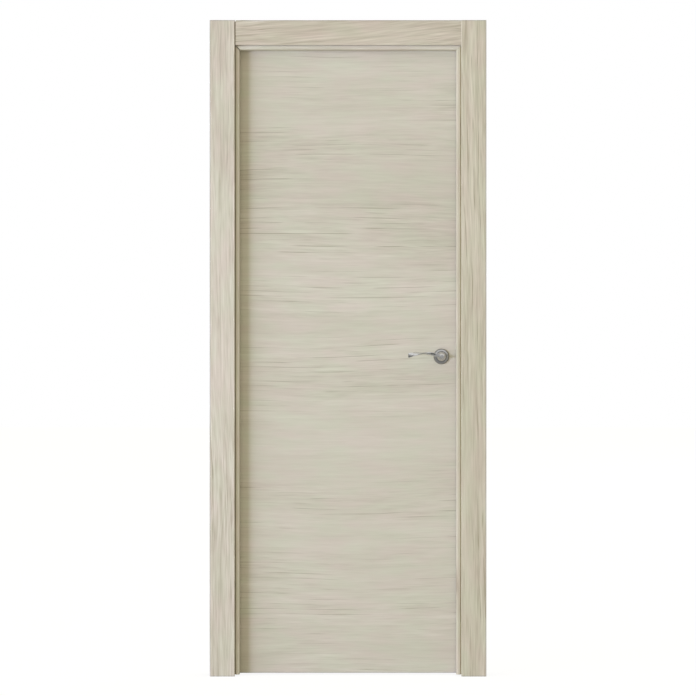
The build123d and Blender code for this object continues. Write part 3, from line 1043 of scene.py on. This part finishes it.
def cross_corners(share, height):
    """The twelve corners of the cross."""
    near, far = cross_half, cross_reach
    corners = (
        (near, near), (near, far), (-near, far), (-near, near), (-far, near), (-far, -near),
        (-near, -near), (-near, -far), (near, -far), (near, -near), (far, -near), (far, near),
    )
    return [(share * x, share * y, height) for x, y in corners]


print("screw heads", 2 * screw_radius * millimetres, "mm across")

# %% [markdown]
# ## One screw head
# From outside in, the head has a round rim, a crown a little inside it, the mouth of the cross and its
# smaller floor. All faces could be listed by hand, but bands between two outlines of the same kind are a
# short loop. Only the flat from the crown to the mouth joins a circle to a cross, and a triangle fill
# closes that.

# %% Screw head
crown_share = 0.84
cross_taper = 0.75
cross_depth = 0.0010
rim_height, crown_height, mouth_height = 0.00002, 0.00030, 0.00042


def add_head(form, to_plate):
    """Add one screw head to a bmesh, at the place that to_plate gives each corner."""
    outlines = (
        round_corners(screw_radius, rim_height),
        round_corners(crown_share * screw_radius, crown_height),
        cross_corners(1.0, mouth_height),
        cross_corners(cross_taper, mouth_height - cross_depth),
    )
    rim, crown, mouth, cross_floor = (
        [form.verts.new(to_plate(corner)) for corner in outline] for outline in outlines
    )
    open_edges = []
    for step in range(head_sides):
        after = (step + 1) % head_sides
        form.faces.new((rim[step], rim[after], crown[after], crown[step]))
        open_edges.append(form.edges.get((crown[step], crown[after])))
    for step in range(len(mouth)):
        after = (step + 1) % len(mouth)
        form.faces.new((mouth[after], mouth[step], cross_floor[step], cross_floor[after]))
        open_edges.append(form.edges.get((mouth[step], mouth[after])))
    form.faces.new(cross_floor)
    bmesh.ops.triangle_fill(form, use_beauty=True, edges=open_edges)


print("cross", cross_depth * millimetres, "mm deep")

# %% [markdown]
# ## Screws on their plates
# Nobody lines up the crosses of real screws, so each head is turned a little further than the one
# before. Every screw could be an object, but the screws of one plate always move together, so they are
# one piece that rides on the plate's body.

# %% Screws of one plate
first_spin, spin_step = 0.5, 1.1
screw_colour = (0.44, 0.435, 0.42)
screw_strokes = (900.0, 900.0, 900.0)
screw_steel = satin_metal("screw_steel", screw_colour, strokes=screw_strokes, gloss=0.26)


def screw_heads(name, body, spots, facing, finish):
    """Countersunk screw heads at spots on a plate that faces the given way."""
    form = bmesh.new()
    turn = Vector(facing).to_track_quat("Z", "Y").to_matrix()
    for number, spot in enumerate(spots):
        spin = Matrix.Rotation(first_spin + spin_step * number, 3, "Z")
        add_head(form, lambda corner: Vector(spot) + turn @ (spin @ Vector(corner)))
    bmesh.ops.recalc_face_normals(form, faces=form.faces)
    heads = add_object(name, finished_mesh(name, form))
    heads.data.materials.append(finish)
    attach(heads, body)
    print(name, "with", len(spots), "screws on", body)


print("screws of", screw_steel.name)

# %% [markdown]
# ## Screws of the hinges
# Each flap has four screws: two near the pin, two further from it, so that the timber doesn't split
# along one line of holes. Their places could be typed in, but they follow from the flap's box, and then
# they stay right if a hinge moves. The frame's flaps face the leaf, and the leaf's flaps the frame.

# %% Hinge screws
flap_near, flap_far = 0.0075, 0.0190
flap_inner, flap_outer = 0.014, 0.033
flap_faces = (
    ("frame_flap", "frame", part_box("hinge_jamb")[1][0], 1),
    ("leaf_flap", "leaf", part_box("leaf_hinge_edge_band")[0][0], -1),
)
for height in hinge_places:
    for half, body, face_x, side in flap_faces:
        low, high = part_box(f"{height}_hinge_{half}")
        middle = (low[2] + high[2]) / 2
        near, far = low[1] + flap_near, low[1] + flap_far
        spots = [
            (face_x, far, middle + flap_outer), (face_x, near, middle + flap_inner),
            (face_x, near, middle - flap_inner), (face_x, far, middle - flap_outer),
        ]
        screw_heads(f"{height}_hinge_{half}_screws", body, spots, (side, 0, 0), screw_steel)

# %% [markdown]
# ## Screws of latch and strike
# The latch's faceplate and the strike each have a screw above and one below the bolt. These too could be
# typed in, but the middle of the plate's box and one reach give both.

# %% Latch screws
for plate, body, reach, side in (
    ("latch_faceplate", "leaf", 0.0205, 1), ("strike_plate", "frame", 0.0235, -1),
):
    low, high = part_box(plate)
    face_x = high[0] if side > 0 else low[0]
    middle = [(low[axis] + high[axis]) / 2 for axis in range(3)]
    spots = [(face_x, middle[1], middle[2] + reach), (face_x, middle[1], middle[2] - reach)]
    screw_heads(f"{plate}_screws", body, spots, (side, 0, 0), screw_steel)
